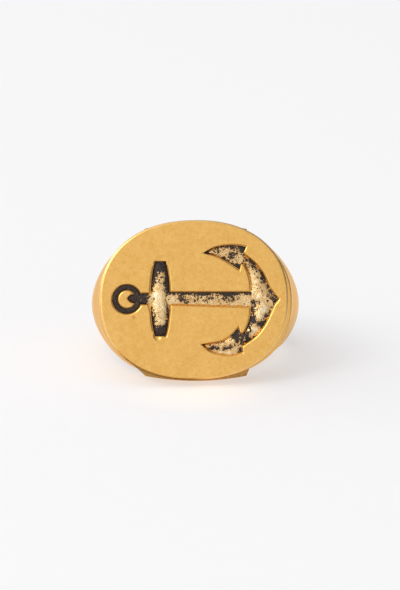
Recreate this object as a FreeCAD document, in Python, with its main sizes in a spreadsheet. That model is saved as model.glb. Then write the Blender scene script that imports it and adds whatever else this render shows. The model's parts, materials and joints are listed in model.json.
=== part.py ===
import FreeCAD, Part
import math
import os

import Sketcher

# A gilt signet ring with an oval face.  A struck face plate with a sunk anchor is soldered to a
# collar, the collar to a cast head with full shoulders, and a half-round shank closes the ring.
#
# Ring frame: the finger hole runs along Z, the face looks along -Y, X runs across the face.
# A depth is a distance in front of the finger hole's axis, so a depth of 11 is y = -11.
# When all is made, the ring is laid on its side, on the edge of its head and that of its shank.

DIMENSIONS = {
    "bore_radius": (8.6, "finger hole"),
    "face_depth": (11.3, "front of the face plate"),
    "plate_thickness": (1.0, "face plate, front to back"),
    "plate_half_width": (9.05, "face plate, across"),
    "plate_half_height": (7.67, "face plate, along the finger"),
    "plate_end_radius": (7.3, "arc at each end of the face plate"),
    "plate_shift": (0.09, "how far the plate sits left of the head's middle"),
    "plate_lift": (0.2, "how far it sits above the head's middle"),
    "plate_edge": (0.12, "chamfer round the front of the face plate"),
    "seam_thickness": (0.06, "solder between plate, collar and head"),
    "seam_inset": (0.1, "how far the solder stops inside the edge"),
    "collar_thickness": (0.45, "collar, front to back"),
    "collar_half_width": (9.3, "collar, across"),
    "collar_half_height": (7.4, "collar, along the finger"),
    "collar_end_radius": (7.1, "arc at each end of the collar"),
    "flare_depth": (7.3, "section where the head begins to narrow"),
    "flare_half_width": (9.55, "head there, across"),
    "flare_half_height": (7.1, "head there, along the finger"),
    "flare_dome": (7.4, "radius of its rounded ends"),
    "shoulder_depth": (4.9, "section through the shoulders"),
    "shoulder_half_width": (9.9, "shoulders, across"),
    "shoulder_half_height": (6.1, "shoulders, along the finger"),
    "shoulder_dome": (6.9, "radius of their rounded outsides"),
    "waist_depth": (2.4, "section just in front of the shank"),
    "waist_half_width": (10.12, "head there, across"),
    "waist_half_height": (4.75, "head there, along the finger"),
    "waist_dome": (6.2, "radius of its rounded outsides"),
    "shank_half_width": (10.25, "outside of the shank where it begins"),
    "shank_half_height": (3.7, "half the shank's width where it begins"),
    "shank_dome": (5.5, "radius of its half-round section"),
    "rear_half_height": (2.0, "half the shank's width at the back"),
    "joint_thickness": (0.1, "solder between head and shank"),
    "foot_half_width": (4.9, "half the length of the head's flat side"),
    "foot_half_height": (7.6, "flat side, from the head's middle"),
    "foot_radius": (22.0, "slight crown of the flat side"),
    "foot_depth": (8.8, "where the flat side ends"),
    "foot_root_depth": (5.4, "where its back slope meets the shoulders"),
    "foot_root_half_height": (6.2, "half the head's height there"),
    "recess_depth": (0.4, "floor of the anchor below the face"),
    "enamel_thickness": (0.25, "enamel on the anchor's floor"),
    "anchor_lift": (0.1, "anchor's long axis above the plate's middle"),
    "shackle_middle": (-6.47, "centre of the shackle ring"),
    "shackle_outer": (1.44, "shackle ring, outer radius"),
    "shackle_inner": (0.85, "shackle ring, inner radius"),
    "eye_tip": (-6.36, "point of the eye inside the shackle ring"),
    "eye_shoulder": (-5.85, "where the eye reaches its width"),
    "eye_half_height": (0.5, "half the eye's width there"),
    "neck_half_height": (0.6, "half the neck's width at the stock"),
    "stock_middle": (-3.22, "centre of the stock"),
    "stock_half_length": (3.6, "stock, from its middle to an end"),
    "stock_half_width": (1.0, "half the stock's width at its middle"),
    "stock_side": (15.6, "radius of its bowed sides"),
    "stem_half_height": (0.65, "half the stem's width at the stock"),
    "stem_foot": (5.38, "where the stem meets the arms"),
    "stem_foot_half_height": (0.75, "half the stem's width there"),
    "crown_tip": (8.16, "point of the crown"),
    "crown_back": (7.3, "inner corner of the crown"),
    "crown_side": (7.72, "side corners of the crown, along the anchor"),
    "crown_half_height": (0.5, "side corners, from the axis"),
    "arm_outer_radius": (7.3, "outer edge of an arm"),
    "arm_inner_radius": (4.7, "inner edge of an arm"),
    "notch_along": (4.65, "outer corner between arm and fluke"),
    "notch_up": (4.5, "the same, from the axis"),
    "palm_along": (4.42, "inner corner between arm and fluke"),
    "palm_up": (3.35, "the same, from the axis"),
    "fluke_tip_along": (0.8, "point of a fluke"),
    "fluke_tip_up": (4.39, "the same, from the axis"),
    "fluke_outer_radius": (4.5, "outer edge of a fluke"),
    "fluke_inner_radius": (5.3, "inner edge of a fluke"),
    "outer_barb_along": (4.85, "outer barb of a fluke"),
    "outer_barb_up": (5.1, "the same, from the axis"),
    "inner_barb_along": (4.3, "inner barb of a fluke"),
    "inner_barb_up": (2.68, "the same, from the axis"),
}

doc = FreeCAD.newDocument("signet_ring")
sheet = doc.addObject("Spreadsheet::Sheet", "dims")
for row, (name, (size, note)) in enumerate(DIMENSIONS.items(), start=1):
    sheet.set(f"A{row}", name)
    sheet.set(f"B{row}", str(size))
    sheet.setAlias(f"B{row}", name)
    sheet.set(f"C{row}", note)
doc.recompute()

# Depths of the stacked layers, as expressions on the sheet.
PLATE_BACK = "dims.face_depth - dims.plate_thickness"
COLLAR_FRONT = f"{PLATE_BACK} - dims.seam_thickness"
COLLAR_BACK = f"{COLLAR_FRONT} - dims.collar_thickness"
HEAD_FRONT = f"{COLLAR_BACK} - dims.seam_thickness"
RECESS_FLOOR = "dims.face_depth - dims.recess_depth"
ENAMEL_TOP = f"{RECESS_FLOOR} + dims.enamel_thickness"

# Where the middles of the plate and of its anchor lie, from the head's middle.
ON_PLATE = ("-dims.plate_shift", "dims.plate_lift")
ON_ANCHOR = ("-dims.plate_shift", "dims.plate_lift + dims.anchor_lift")
ON_HEAD = ("0", "0")


def measure(expression):
    """The number that an expression on the sheet gives."""
    return float(sheet.evalExpression(expression.replace("dims.", "")))


# ---------------------------------------------------------------- sketches


def new_body(label):
    """An empty body that will hold one piece of the ring."""
    body = doc.addObject("PartDesign::Body", label)
    body.Label = label
    return body


def new_sketch(body, name, role="XZ_Plane", depth="0", middle=ON_HEAD):
    """A sketch on one of a body's own planes; the XZ plane's normal points to the front."""
    plane = next(item for item in body.Origin.OriginFeatures if item.Role == role)
    sketch = body.newObject("Sketcher::SketchObject", name)
    sketch.AttachmentSupport = [(plane, "")]
    sketch.MapMode = "FlatFace"
    sketch.setExpression("AttachmentOffset.Base.x", middle[0])
    sketch.setExpression("AttachmentOffset.Base.y", middle[1])
    sketch.setExpression("AttachmentOffset.Base.z", depth)
    return sketch


def bind(sketch, kind, targets, expression):
    """A dimension of a sketch that follows the sheet."""
    constraint = Sketcher.Constraint(kind, *targets, measure(expression))
    index = sketch.addConstraint(constraint)
    sketch.setExpression(f"Constraints[{index}]", expression)


def fix_corner(sketch, edge, end, corner):
    """Hold one end of an edge at a corner given by two expressions."""
    for kind, axis, expression in (("DistanceX", -2, corner[0]), ("DistanceY", -1, corner[1])):
        if abs(measure(expression)) < 1e-9:
            sketch.addConstraint(Sketcher.Constraint("PointOnObject", edge, end, axis))
        else:
            bind(sketch, kind, (-1, 1, edge, end), expression)


def draw_outline(sketch, corners, bows):
    """A closed outline through corners; bows gives each side's radius, or None if straight.

    A positive bow turns left on its way from corner to corner, a bow starting with a minus turns
    right.  Corners are pairs of expressions.
    """
    ends = []
    for index, (corner, bow) in enumerate(zip(corners, bows)):
        following = corners[(index + 1) % len(corners)]
        start = FreeCAD.Vector(measure(corner[0]), measure(corner[1]), 0)
        stop = FreeCAD.Vector(measure(following[0]), measure(following[1]), 0)
        if bow is None:
            edge = sketch.addGeometry(Part.LineSegment(start, stop), False)
            ends.append((edge, 1, 2))
            continue
        turn = -1 if bow.startswith("-") else 1
        radius_rule = bow.lstrip("-")
        radius = measure(radius_rule)
        chord = stop - start
        bulge = radius - math.sqrt(radius**2 - (chord.Length / 2) ** 2)
        outwards = FreeCAD.Vector(chord.y, -chord.x, 0).normalize() * (turn * bulge)
        middle = (start + stop) * 0.5 + outwards
        edge = sketch.addGeometry(Part.Arc(start, middle, stop), False)
        ends.append((edge, 1, 2) if turn > 0 else (edge, 2, 1))
        bind(sketch, "Radius", (edge,), radius_rule)
    for index, (edge, _first, last) in enumerate(ends):
        next_edge, next_first, _last = ends[(index + 1) % len(ends)]
        sketch.addConstraint(Sketcher.Constraint("Coincident", edge, last, next_edge, next_first))
        fix_corner(sketch, next_edge, next_first, corners[(index + 1) % len(corners)])


def draw_circle(sketch, across, radius):
    """A circle whose centre lies on the sketch's horizontal axis."""
    centre = FreeCAD.Vector(measure(across), 0, 0)
    normal = FreeCAD.Vector(0, 0, 1)
    circle = sketch.addGeometry(Part.Circle(centre, normal, measure(radius)), False)
    bind(sketch, "Radius", (circle,), radius)
    fix_corner(sketch, circle, 3, (across, "0"))


def four_corners(across, up):
    """The corners of a shape that is the same left and right, above and below, turning left."""
    left, below = f"-({across})", f"-({up})"
    return [(across, below), (across, up), (left, up), (left, below)]


def draw_oval(sketch, size, inset="0"):
    """An oval of four tangent arcs, from the sheet's half width, half height and end radius."""
    half_width = f"(dims.{size}_half_width - {inset})"
    half_height = f"(dims.{size}_half_height - {inset})"
    end = f"(dims.{size}_end_radius - {inset})"
    side = (
        f"(({half_width}^2 + {half_height}^2 - 2 * {half_width} * {end})"
        f" / (2 * ({half_height} - {end})))"
    )
    across = f"({half_width} - {end}) * {side} / ({side} - {end})"
    up = f"{end} * ({side} - {half_height}) / ({side} - {end})"
    draw_outline(sketch, four_corners(across, up), [end, side, end, side])


def dome_edge(size, half_height=None):
    """How far from the middle a rounded side is, at its corner or at another height."""
    height = half_height or f"dims.{size}_half_height"
    return (
        f"dims.{size}_half_width - dims.{size}_dome"
        f" + sqrt(dims.{size}_dome^2 - {height}^2)"
    )


def draw_domed(sketch, size):
    """A section with flat sides above and below and rounded sides left and right."""
    dome = f"dims.{size}_dome"
    corners = four_corners(dome_edge(size), f"dims.{size}_half_height")
    draw_outline(sketch, corners, [dome, None, dome, None])


def draw_shank_section(sketch, side=""):
    """The half-round section of the shank, right of the axis, or left of it when side is '-'."""
    inner = f"{side}dims.bore_radius"
    outer = f"{side}({dome_edge('shank')})"
    low, high = "-dims.shank_half_height", "dims.shank_half_height"
    corners = [(inner, low), (outer, low), (outer, high), (inner, high)]
    bow = "-dims.shank_dome" if side else "dims.shank_dome"
    draw_outline(sketch, corners, [None, bow, None, None])


# ---------------------------------------------------------------- the anchor's outlines


def draw_shackle(sketch):
    """The ring through the anchor's eye."""
    draw_circle(sketch, "dims.shackle_middle", "dims.shackle_outer")
    draw_circle(sketch, "dims.shackle_middle", "dims.shackle_inner")


def draw_eye(sketch):
    """The pointed eye and its neck, which runs on to the middle of the stock."""
    corners = [
        ("dims.eye_tip", "0"),
        ("dims.eye_shoulder", "-dims.eye_half_height"),
        ("dims.stock_middle", "-dims.neck_half_height"),
        ("dims.stock_middle", "dims.neck_half_height"),
        ("dims.eye_shoulder", "dims.eye_half_height"),
    ]
    draw_outline(sketch, corners, [None] * len(corners))


def draw_stock(sketch):
    """The cross bar, a barrel with bowed sides and straight ends."""
    end = (
        "(dims.stock_half_width - dims.stock_side"
        " + sqrt(dims.stock_side^2 - dims.stock_half_length^2))"
    )
    right, left = f"dims.stock_middle + {end}", f"dims.stock_middle - {end}"
    low, high = "-dims.stock_half_length", "dims.stock_half_length"
    corners = [(right, low), (right, high), (left, high), (left, low)]
    draw_outline(sketch, corners, ["dims.stock_side", None, "dims.stock_side", None])


def draw_stem(sketch):
    """The shank of the anchor, from the middle of the stock to the arms."""
    corners = [
        ("dims.stock_middle", "-dims.stem_half_height"),
        ("dims.stem_foot", "-dims.stem_foot_half_height"),
        ("dims.stem_foot", "dims.stem_foot_half_height"),
        ("dims.stock_middle", "dims.stem_half_height"),
    ]
    draw_outline(sketch, corners, [None] * len(corners))


def draw_crown(sketch):
    """The pointed crown where the two arms meet."""
    corners = [
        ("dims.crown_back", "0"),
        ("dims.crown_side", "-dims.crown_half_height"),
        ("dims.crown_tip", "0"),
        ("dims.crown_side", "dims.crown_half_height"),
    ]
    draw_outline(sketch, corners, [None] * len(corners))


def draw_arm(sketch, side=""):
    """An arm from the stem and crown to its fluke; side '-' gives the lower one."""
    corners = [
        ("dims.stem_foot", "0"),
        ("dims.crown_back", "0"),
        ("dims.crown_side", f"{side}dims.crown_half_height"),
        ("dims.notch_along", f"{side}dims.notch_up"),
        ("dims.palm_along", f"{side}dims.palm_up"),
        ("dims.stem_foot", f"{side}dims.stem_foot_half_height"),
    ]
    outer, inner = ("-", "") if side else ("", "-")
    bows = [
        None,
        None,
        f"{outer}dims.arm_outer_radius",
        None,
        f"{inner}dims.arm_inner_radius",
        None,
    ]
    draw_outline(sketch, corners, bows)


def draw_fluke(sketch, side=""):
    """A barbed fluke at the end of an arm; side '-' gives the lower one."""
    corners = [
        ("dims.fluke_tip_along", f"{side}dims.fluke_tip_up"),
        ("dims.inner_barb_along", f"{side}dims.inner_barb_up"),
        ("dims.palm_along", f"{side}dims.palm_up"),
        ("dims.notch_along", f"{side}dims.notch_up"),
        ("dims.outer_barb_along", f"{side}dims.outer_barb_up"),
    ]
    outer, inner = ("-", "") if side else ("", "-")
    bows = [
        f"{inner}dims.fluke_inner_radius",
        None,
        None,
        None,
        f"{outer}dims.fluke_outer_radius",
    ]
    draw_outline(sketch, corners, bows)


def draw_lower_arm(sketch):
    """The arm below the anchor's axis."""
    draw_arm(sketch, side="-")


def draw_lower_fluke(sketch):
    """The fluke below the anchor's axis."""
    draw_fluke(sketch, side="-")


# Each piece of enamel: how its outline is drawn, and the outline that cuts it where they meet.
ENAMELS = {
    "shackle_ring_enamel": (draw_shackle, draw_eye),
    "shackle_eye_enamel": (draw_eye, draw_stock),
    "stock_enamel": (draw_stock, None),
    "stem_enamel": (draw_stem, draw_stock),
    "crown_enamel": (draw_crown, None),
    "upper_arm_enamel": (draw_arm, None),
    "lower_arm_enamel": (draw_lower_arm, None),
    "upper_fluke_enamel": (draw_fluke, None),
    "lower_fluke_enamel": (draw_lower_fluke, None),
}


# ---------------------------------------------------------------- features


def pad(body, sketch, length, reverse=False):
    """Raise a sketch into a solid, to the front unless reversed."""
    feature = body.newObject("PartDesign::Pad", f"{sketch.Name}_pad")
    feature.Profile = sketch
    feature.setExpression("Length", length)
    feature.Reversed = reverse
    return feature


def pocket(body, sketch, length=None):
    """Cut a sketch into the solid behind it, or right through both ways without a length."""
    feature = body.newObject("PartDesign::Pocket", f"{sketch.Name}_pocket")
    feature.Profile = sketch
    if length is None:
        feature.Type = "ThroughAll"
        feature.Midplane = True
    else:
        feature.setExpression("Length", length)
    return feature


def loft(body, sketches):
    """A solid through parallel sketches, front to back, straight from each to the next."""
    feature = body.newObject("PartDesign::AdditiveLoft", f"{sketches[0].Name}_loft")
    feature.Profile = sketches[0]
    feature.Sections = sketches[1:]
    feature.Ruled = True
    return feature


def checked_cut(body, cut):
    """Recompute, and make sure that a cut has taken something away."""
    doc.recompute()
    before = cut.BaseFeature.Shape.Volume
    if cut.Shape.Volume > before - 1e-3:
        raise RuntimeError(f"{cut.Name} cuts nothing from {body.Label}")


# ---------------------------------------------------------------- the pieces


def make_face_plate():
    """The oval face plate, its front edge chamfered, with the anchor sunk into it."""
    body = new_body("face_plate")
    outline = new_sketch(body, "plate_outline", depth=PLATE_BACK, middle=ON_PLATE)
    draw_oval(outline, "plate")
    blank = pad(body, outline, "dims.plate_thickness")
    doc.recompute()
    front = -measure("dims.face_depth")
    edge_names = [
        f"Edge{number}"
        for number, edge in enumerate(blank.Shape.Edges, start=1)
        if abs(edge.BoundBox.YMin - front) < 1e-6 and abs(edge.BoundBox.YMax - front) < 1e-6
    ]
    chamfer = body.newObject("PartDesign::Chamfer", "plate_chamfer")
    chamfer.Base = (blank, edge_names)
    chamfer.setExpression("Size", "dims.plate_edge")
    for label, (draw, _cutter) in ENAMELS.items():
        sunk = new_sketch(body, f"{label}_seat", depth="dims.face_depth", middle=ON_ANCHOR)
        draw(sunk)
        checked_cut(body, pocket(body, sunk, "dims.recess_depth"))
    return body


def make_enamel(label, draw, cutter):
    """One piece of black enamel on the floor of the sunk anchor."""
    body = new_body(label)
    outline = new_sketch(body, f"{label}_outline", depth=RECESS_FLOOR, middle=ON_ANCHOR)
    draw(outline)
    pad(body, outline, "dims.enamel_thickness")
    if cutter is not None:
        trim = new_sketch(body, f"{label}_trim", depth=ENAMEL_TOP, middle=ON_ANCHOR)
        cutter(trim)
        checked_cut(body, pocket(body, trim, "dims.enamel_thickness"))
    return body


def make_layer(label, size, depth, thickness, middle, inset="0"):
    """A flat oval layer between plate and head: the collar, or a film of solder."""
    body = new_body(label)
    outline = new_sketch(body, f"{label}_outline", depth=depth, middle=middle)
    draw_oval(outline, size, inset)
    pad(body, outline, thickness)
    return body


def make_head():
    """The cast head: oval in front, full at the shoulders, with flat sides above and below."""
    body = new_body("head")
    front = new_sketch(body, "front_section", depth=HEAD_FRONT)
    draw_oval(front, "collar")
    sections = [front]
    for size, depth in (
        ("flare", "dims.flare_depth"),
        ("shoulder", "dims.shoulder_depth"),
        ("waist", "dims.waist_depth"),
        ("shank", "0"),
    ):
        section = new_sketch(body, f"{size}_section", depth=depth)
        draw_domed(section, size)
        sections.append(section)
    loft(body, sections)

    crown = "dims.foot_radius - sqrt(dims.foot_radius^2 - dims.foot_half_width^2)"
    feet = []
    for name, height, depth in (
        ("foot_front", "dims.foot_half_height", HEAD_FRONT),
        ("foot_edge", "dims.foot_half_height", "dims.foot_depth"),
        ("foot_root", "dims.foot_root_half_height", "dims.foot_root_depth"),
    ):
        foot = new_sketch(body, name, depth=depth)
        corners = four_corners("dims.foot_half_width", f"{height} - ({crown})")
        draw_outline(foot, corners, [None, "dims.foot_radius", None, "dims.foot_radius"])
        feet.append(foot)
    loft(body, feet)

    hole = new_sketch(body, "finger_hole", role="XY_Plane")
    draw_circle(hole, "0", "dims.bore_radius")
    checked_cut(body, pocket(body, hole))
    return body


def make_shank():
    """The half-round shank behind the finger, narrowing to the back on both sides."""
    body = new_body("shank")
    section = new_sketch(body, "shank_profile")
    draw_shank_section(section)
    band = body.newObject("PartDesign::Revolution", "shank_band")
    band.Profile = section
    band.ReferenceAxis = (section, ["V_Axis"])
    band.Angle = 180
    doc.recompute()
    if band.Shape.BoundBox.YMax < measure("dims.bore_radius"):
        raise RuntimeError("the shank runs round the front of the finger")

    ends = new_sketch(body, "solder_gap")
    corners = four_corners("2 * dims.shank_half_width", "2 * dims.shank_half_height")
    draw_outline(ends, corners, [None] * 4)
    checked_cut(body, pocket(body, ends, "dims.joint_thickness"))

    for name, side in (("upper_taper", ""), ("lower_taper", "-")):
        taper = new_sketch(body, name, role="YZ_Plane")
        far = "2 * dims.shank_half_width"
        high = f"{side}2 * dims.shank_half_height"
        corners = [
            ("0", f"{side}dims.shank_half_height"),
            (dome_edge("shank", "dims.rear_half_height"), f"{side}dims.rear_half_height"),
            (far, f"{side}dims.rear_half_height"),
            (far, high),
            ("0", high),
        ]
        draw_outline(taper, corners, [None] * len(corners))
        checked_cut(body, pocket(body, taper))
    return body


def make_joint(label, side):
    """The solder that joins one end of the shank to the head."""
    body = new_body(label)
    section = new_sketch(body, f"{label}_section")
    draw_shank_section(section, side)
    pad(body, section, "dims.joint_thickness", reverse=True)
    return body


def make_ring():
    """Every piece of the ring, in the ring's own frame."""
    pieces = [
        make_face_plate(),
        make_layer(
            "plate_solder",
            "plate",
            COLLAR_FRONT,
            "dims.seam_thickness",
            ON_PLATE,
            "dims.seam_inset",
        ),
        make_layer("collar", "collar", COLLAR_BACK, "dims.collar_thickness", ON_HEAD),
        make_layer(
            "collar_solder",
            "collar",
            HEAD_FRONT,
            "dims.seam_thickness",
            ON_HEAD,
            "dims.seam_inset",
        ),
        make_head(),
        make_joint("left_shank_solder", "-"),
        make_joint("right_shank_solder", ""),
        make_shank(),
    ]
    for label, (draw, cutter) in ENAMELS.items():
        pieces.append(make_enamel(label, draw, cutter))
    return pieces


# ---------------------------------------------------------------- rest, check and export


def lay_down(pieces):
    """Lean the ring back on its side and centre it over the middle of its own footprint."""
    rear = measure(dome_edge("shank", "dims.rear_half_height"))
    drop = measure("dims.foot_half_height - dims.rear_half_height")
    lean = FreeCAD.Rotation(
        FreeCAD.Vector(1, 0, 0),
        -math.degrees(math.atan2(drop, rear + measure("dims.foot_depth"))),
    )
    foot = FreeCAD.Vector(0, -measure("dims.foot_depth"), -measure("dims.foot_half_height"))
    whole = Part.makeCompound([piece.Shape for piece in pieces])
    whole.Placement = FreeCAD.Placement(FreeCAD.Vector(), lean)
    box = whole.optimalBoundingBox(True, False)
    rise = FreeCAD.Vector(0, -box.Center.y, -lean.multVec(foot).z)
    for piece in pieces:
        piece.Placement = FreeCAD.Placement(rise, lean)
    doc.recompute()


def check(pieces):
    """Stop if any object failed, or if a piece isn't one valid solid shape."""
    for item in doc.Objects:
        if "Invalid" in item.State or "Error" in item.State:
            raise RuntimeError(f"{item.Name} failed: {item.State}")
    for piece in pieces:
        if piece.Shape.isNull() or not piece.Shape.isValid() or piece.Shape.Volume <= 0:
            raise RuntimeError(f"{piece.Label} has no valid shape")


ring = make_ring()
doc.recompute()
lay_down(ring)
check(ring)
os.makedirs("parts", exist_ok=True)
for piece in ring:
    piece.Shape.exportStep(f"parts/{piece.Label}.step")
    box = piece.Shape.optimalBoundingBox(True, False)
    print(
        f"{piece.Label}: {len(piece.Shape.Solids)} solid(s), {piece.Shape.Volume:.2f} mm3, "
        f"{box.XLength:.2f} x {box.YLength:.2f} x {box.ZLength:.2f} mm, lowest {box.ZMin:.3f}"
    )
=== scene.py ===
"""The looks of a gilt signet ring with a sunk anchor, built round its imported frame.

Pieces are modelled in the ring's own frame, in millimetres: the finger hole runs along Z, the face
looks along -Y, and X runs across the face.  A depth is a distance in front of the hole's axis, so a
depth of 11 is y = -11.  Each finished mesh is then laid down in the row's frame, in metres.
"""

import json
import logging
import math
from dataclasses import dataclass, field
from enum import Enum
from typing import Callable, Iterable, Sequence

import bmesh
import bpy
from mathutils import Matrix, Vector, noise


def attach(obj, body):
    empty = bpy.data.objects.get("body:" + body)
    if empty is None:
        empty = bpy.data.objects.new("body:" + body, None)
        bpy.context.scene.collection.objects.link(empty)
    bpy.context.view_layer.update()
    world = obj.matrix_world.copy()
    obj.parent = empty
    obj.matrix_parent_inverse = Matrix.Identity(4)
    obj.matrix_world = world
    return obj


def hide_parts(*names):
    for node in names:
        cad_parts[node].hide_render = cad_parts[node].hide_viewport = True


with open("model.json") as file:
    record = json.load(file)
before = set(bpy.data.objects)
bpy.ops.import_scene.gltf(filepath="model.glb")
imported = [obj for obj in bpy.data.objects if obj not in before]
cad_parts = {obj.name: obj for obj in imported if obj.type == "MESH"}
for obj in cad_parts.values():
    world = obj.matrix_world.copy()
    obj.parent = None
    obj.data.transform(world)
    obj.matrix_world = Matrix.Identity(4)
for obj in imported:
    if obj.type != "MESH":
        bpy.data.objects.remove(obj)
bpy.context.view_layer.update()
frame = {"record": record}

log = logging.getLogger("signet_ring")

Colour = tuple[float, float, float]
Point = tuple[float, float]

BODY = "root"
MILLIMETRE = 0.001
BORE_RADIUS = 8.6
FACE_DEPTH = 11.3
PLATE_BACK = 10.3
RECESS_FLOOR = 10.9
COLLAR_FRONT, COLLAR_BACK = 10.24, 9.79
HEAD_FRONT = 9.73
PLATE_MIDDLE: Point = (-0.09, 0.2)
COVER, TARNISH_AND_PAINTED_SHADE = "cover", "tarnish_and_painted_shade"


class Slot(Enum):
    """The record's material slots."""

    PLATE = "plate_gilt"
    BODY = "body_gilt"
    SOLDER = "solder"
    ENAMEL = "enamel"


# ------------------------------------------------------------------ shader expressions


class Wire:
    """A shader number or colour that Python's operators can work on."""

    def __init__(self, shader: "Shader", socket: bpy.types.NodeSocket) -> None:
        """Wrap an output socket of a shader's node."""
        self.shader = shader
        self.socket = socket

    def _math(self, operation: str, *terms: "Wire | float", clamp: bool = False) -> "Wire":
        """One Math node.

        Args:
            operation: The Math node's operation.
            terms: Its inputs, in order.
            clamp: Whether the result stays between 0 and 1.

        Returns:
            The node's result.
        """
        settings = {"operation": operation, "use_clamp": clamp}
        return self.shader.node("ShaderNodeMath", settings, dict(enumerate(terms)))

    def __add__(self, other: "Wire | float") -> "Wire":
        """Sum."""
        return self._math("ADD", self, other)

    __radd__ = __add__

    def __sub__(self, other: "Wire | float") -> "Wire":
        """Difference."""
        return self._math("SUBTRACT", self, other)

    def __rsub__(self, other: float) -> "Wire":
        """Difference from a number."""
        return self._math("SUBTRACT", other, self)

    def __mul__(self, other: "Wire | float") -> "Wire":
        """Product."""
        return self._math("MULTIPLY", self, other)

    __rmul__ = __mul__

    def __abs__(self) -> "Wire":
        """Size without sign."""
        return self._math("ABSOLUTE", self)

    def larger(self, other: "Wire | float") -> "Wire":
        """The larger of two values."""
        return self._math("MAXIMUM", self, other)

    def kept(self) -> "Wire":
        """The value held between 0 and 1."""
        return self._math("ADD", self, 0.0, clamp=True)

    def step(self, low: float, high: float) -> "Wire":
        """A smooth step.

        Args:
            low: Where the step starts, as 0.
            high: Where it ends, as 1.

        Returns:
            The stepped value.
        """
        inputs = {"Value": self, "From Min": low, "From Max": high, "To Min": 0.0, "To Max": 1.0}
        return self.shader.node("ShaderNodeMapRange", {"interpolation_type": "SMOOTHSTEP"}, inputs)


class Shader:
    """A material under construction, with its pattern space in ring millimetres."""

    def __init__(self, name: str, ring: "RingFrame | None" = None) -> None:
        """Start a material.

        Args:
            name: The material's name.
            ring: The ring's frame, for patterns that follow it.
        """
        self.material = bpy.data.materials.new(name)
        self.material.use_nodes = True
        self.tree = self.material.node_tree
        self.tree.nodes.clear()
        self.space: Wire | None = None
        if ring is not None:
            spot, turn, size = ring.matrix.inverted().decompose()
            bare = self.node("ShaderNodeTexCoord", {}, {}, "Object")
            where = {
                "Vector": bare,
                "Location": spot,
                "Rotation": turn.to_euler(),
                "Scale": size,
            }
            self.space = self.node("ShaderNodeMapping", {"vector_type": "POINT"}, where)

    def node(
        self, kind: str, settings: dict, inputs: dict, output: str | int = 0
    ) -> Wire:
        """Add any node.

        Args:
            kind: The node's type name.
            settings: Properties, set before its sockets.
            inputs: Values or wires by socket name or number.
            output: The output to give back.

        Returns:
            That output.
        """
        made = self.tree.nodes.new(kind)
        for key, value in settings.items():
            setattr(made, key, value)
        for key, value in inputs.items():
            if isinstance(value, Wire):
                self.tree.links.new(value.socket, made.inputs[key])
            else:
                made.inputs[key].default_value = value
        return Wire(self, made.outputs[output])

    def noise(
        self,
        per_mm: float,
        detail: float = 2.0,
        roughness: float = 0.5,
        space: "Wire | None" = None,
        distortion: float = 0.0,
    ) -> Wire:
        """Soft noise with values about 0.5.

        Args:
            per_mm: Cells to a millimetre.
            detail: Octaves.
            roughness: Weight of the finer octaves.
            space: The pattern space, if not the ring's.
            distortion: How much the noise warps itself.

        Returns:
            The noise's value.
        """
        inputs = {
            "Vector": space or self.space,
            "Scale": per_mm,
            "Detail": detail,
            "Roughness": roughness,
            "Distortion": distortion,
        }
        return self.node("ShaderNodeTexNoise", {"noise_dimensions": "3D"}, inputs)

    def attribute(self, name: str) -> Wire:
        """A number that the mesh carries, or 0 where it carries none."""
        settings = {"attribute_name": name, "attribute_type": "GEOMETRY"}
        return self.node("ShaderNodeAttribute", settings, {}, "Fac")

    def turned(self, degrees: float, stretch: float, shift: float) -> Wire:
        """Pattern space turned about Y and stretched along one way.

        Args:
            degrees: The turn.
            stretch: How long a mark is against its width.
            shift: An offset that makes each layer differ.

        Returns:
            The new space.
        """
        inputs = {
            "Vector": self.space,
            "Location": (shift, shift * 0.7, -shift),
            "Rotation": (0.0, math.radians(degrees), 0.0),
            "Scale": (1.0 / stretch, 1.0, 1.0),
        }
        return self.node("ShaderNodeMapping", {"vector_type": "POINT"}, inputs)

    def hairlines(self, degrees: float, shift: float, width: float = 0.006) -> Wire:
        """Long thin scratches that come and go.

        Args:
            degrees: Their direction.
            shift: An offset that makes each layer differ.
            width: How wide they are.

        Returns:
            1 in a scratch and 0 elsewhere.
        """
        field_value = self.noise(0.9, 0.0, space=self.turned(degrees, 9.0, shift))
        line = 1.0 - abs(field_value - 0.5).step(0.0, width)
        gaps = self.noise(0.55, 1.0, space=self.turned(degrees + 40.0, 1.0, shift + 5.0))
        return line * gaps.step(0.5, 0.62)

    def colour_mix(self, factor: "Wire | float", one: "Wire | Colour", two: "Wire | Colour") -> Wire:
        """Mix two colours.

        Args:
            factor: 0 gives the first, 1 the second.
            one: The first colour.
            two: The second colour.

        Returns:
            The mixed colour.
        """
        made = self.tree.nodes.new("ShaderNodeMix")
        made.data_type = "RGBA"
        sockets = [s for s in made.inputs if s.enabled]
        for socket, value in zip(sockets, (factor, one, two)):
            if isinstance(value, Wire):
                self.tree.links.new(value.socket, socket)
            else:
                socket.default_value = value if isinstance(value, float) else (*value, 1.0)
        return Wire(self, next(s for s in made.outputs if s.enabled))

    def bump(self, height: Wire, distance_mm: float, strength: float = 1.0) -> Wire:
        """A bumped normal.

        Args:
            height: Height, 0 to 1.
            distance_mm: How deep a height of 1 is.
            strength: Share of the effect.

        Returns:
            The normal.
        """
        inputs = {"Height": height, "Distance": distance_mm * MILLIMETRE, "Strength": strength}
        return self.node("ShaderNodeBump", {}, inputs)

    def surface(self, **inputs: "Wire | float | Colour") -> bpy.types.Material:
        """Finish with a Principled surface.

        Args:
            inputs: Its sockets by name, with an underscore for a space.

        Returns:
            The material.
        """
        named = {}
        for key, value in inputs.items():
            whole = (*value, 1.0) if isinstance(value, tuple) else value
            named[key.replace("_", " ")] = whole
        shade = self.node("ShaderNodeBsdfPrincipled", {}, named)
        end = self.tree.nodes.new("ShaderNodeOutputMaterial")
        self.tree.links.new(shade.socket, end.inputs["Surface"])
        return self.material


# ------------------------------------------------------------------ frame and bench work


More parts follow.
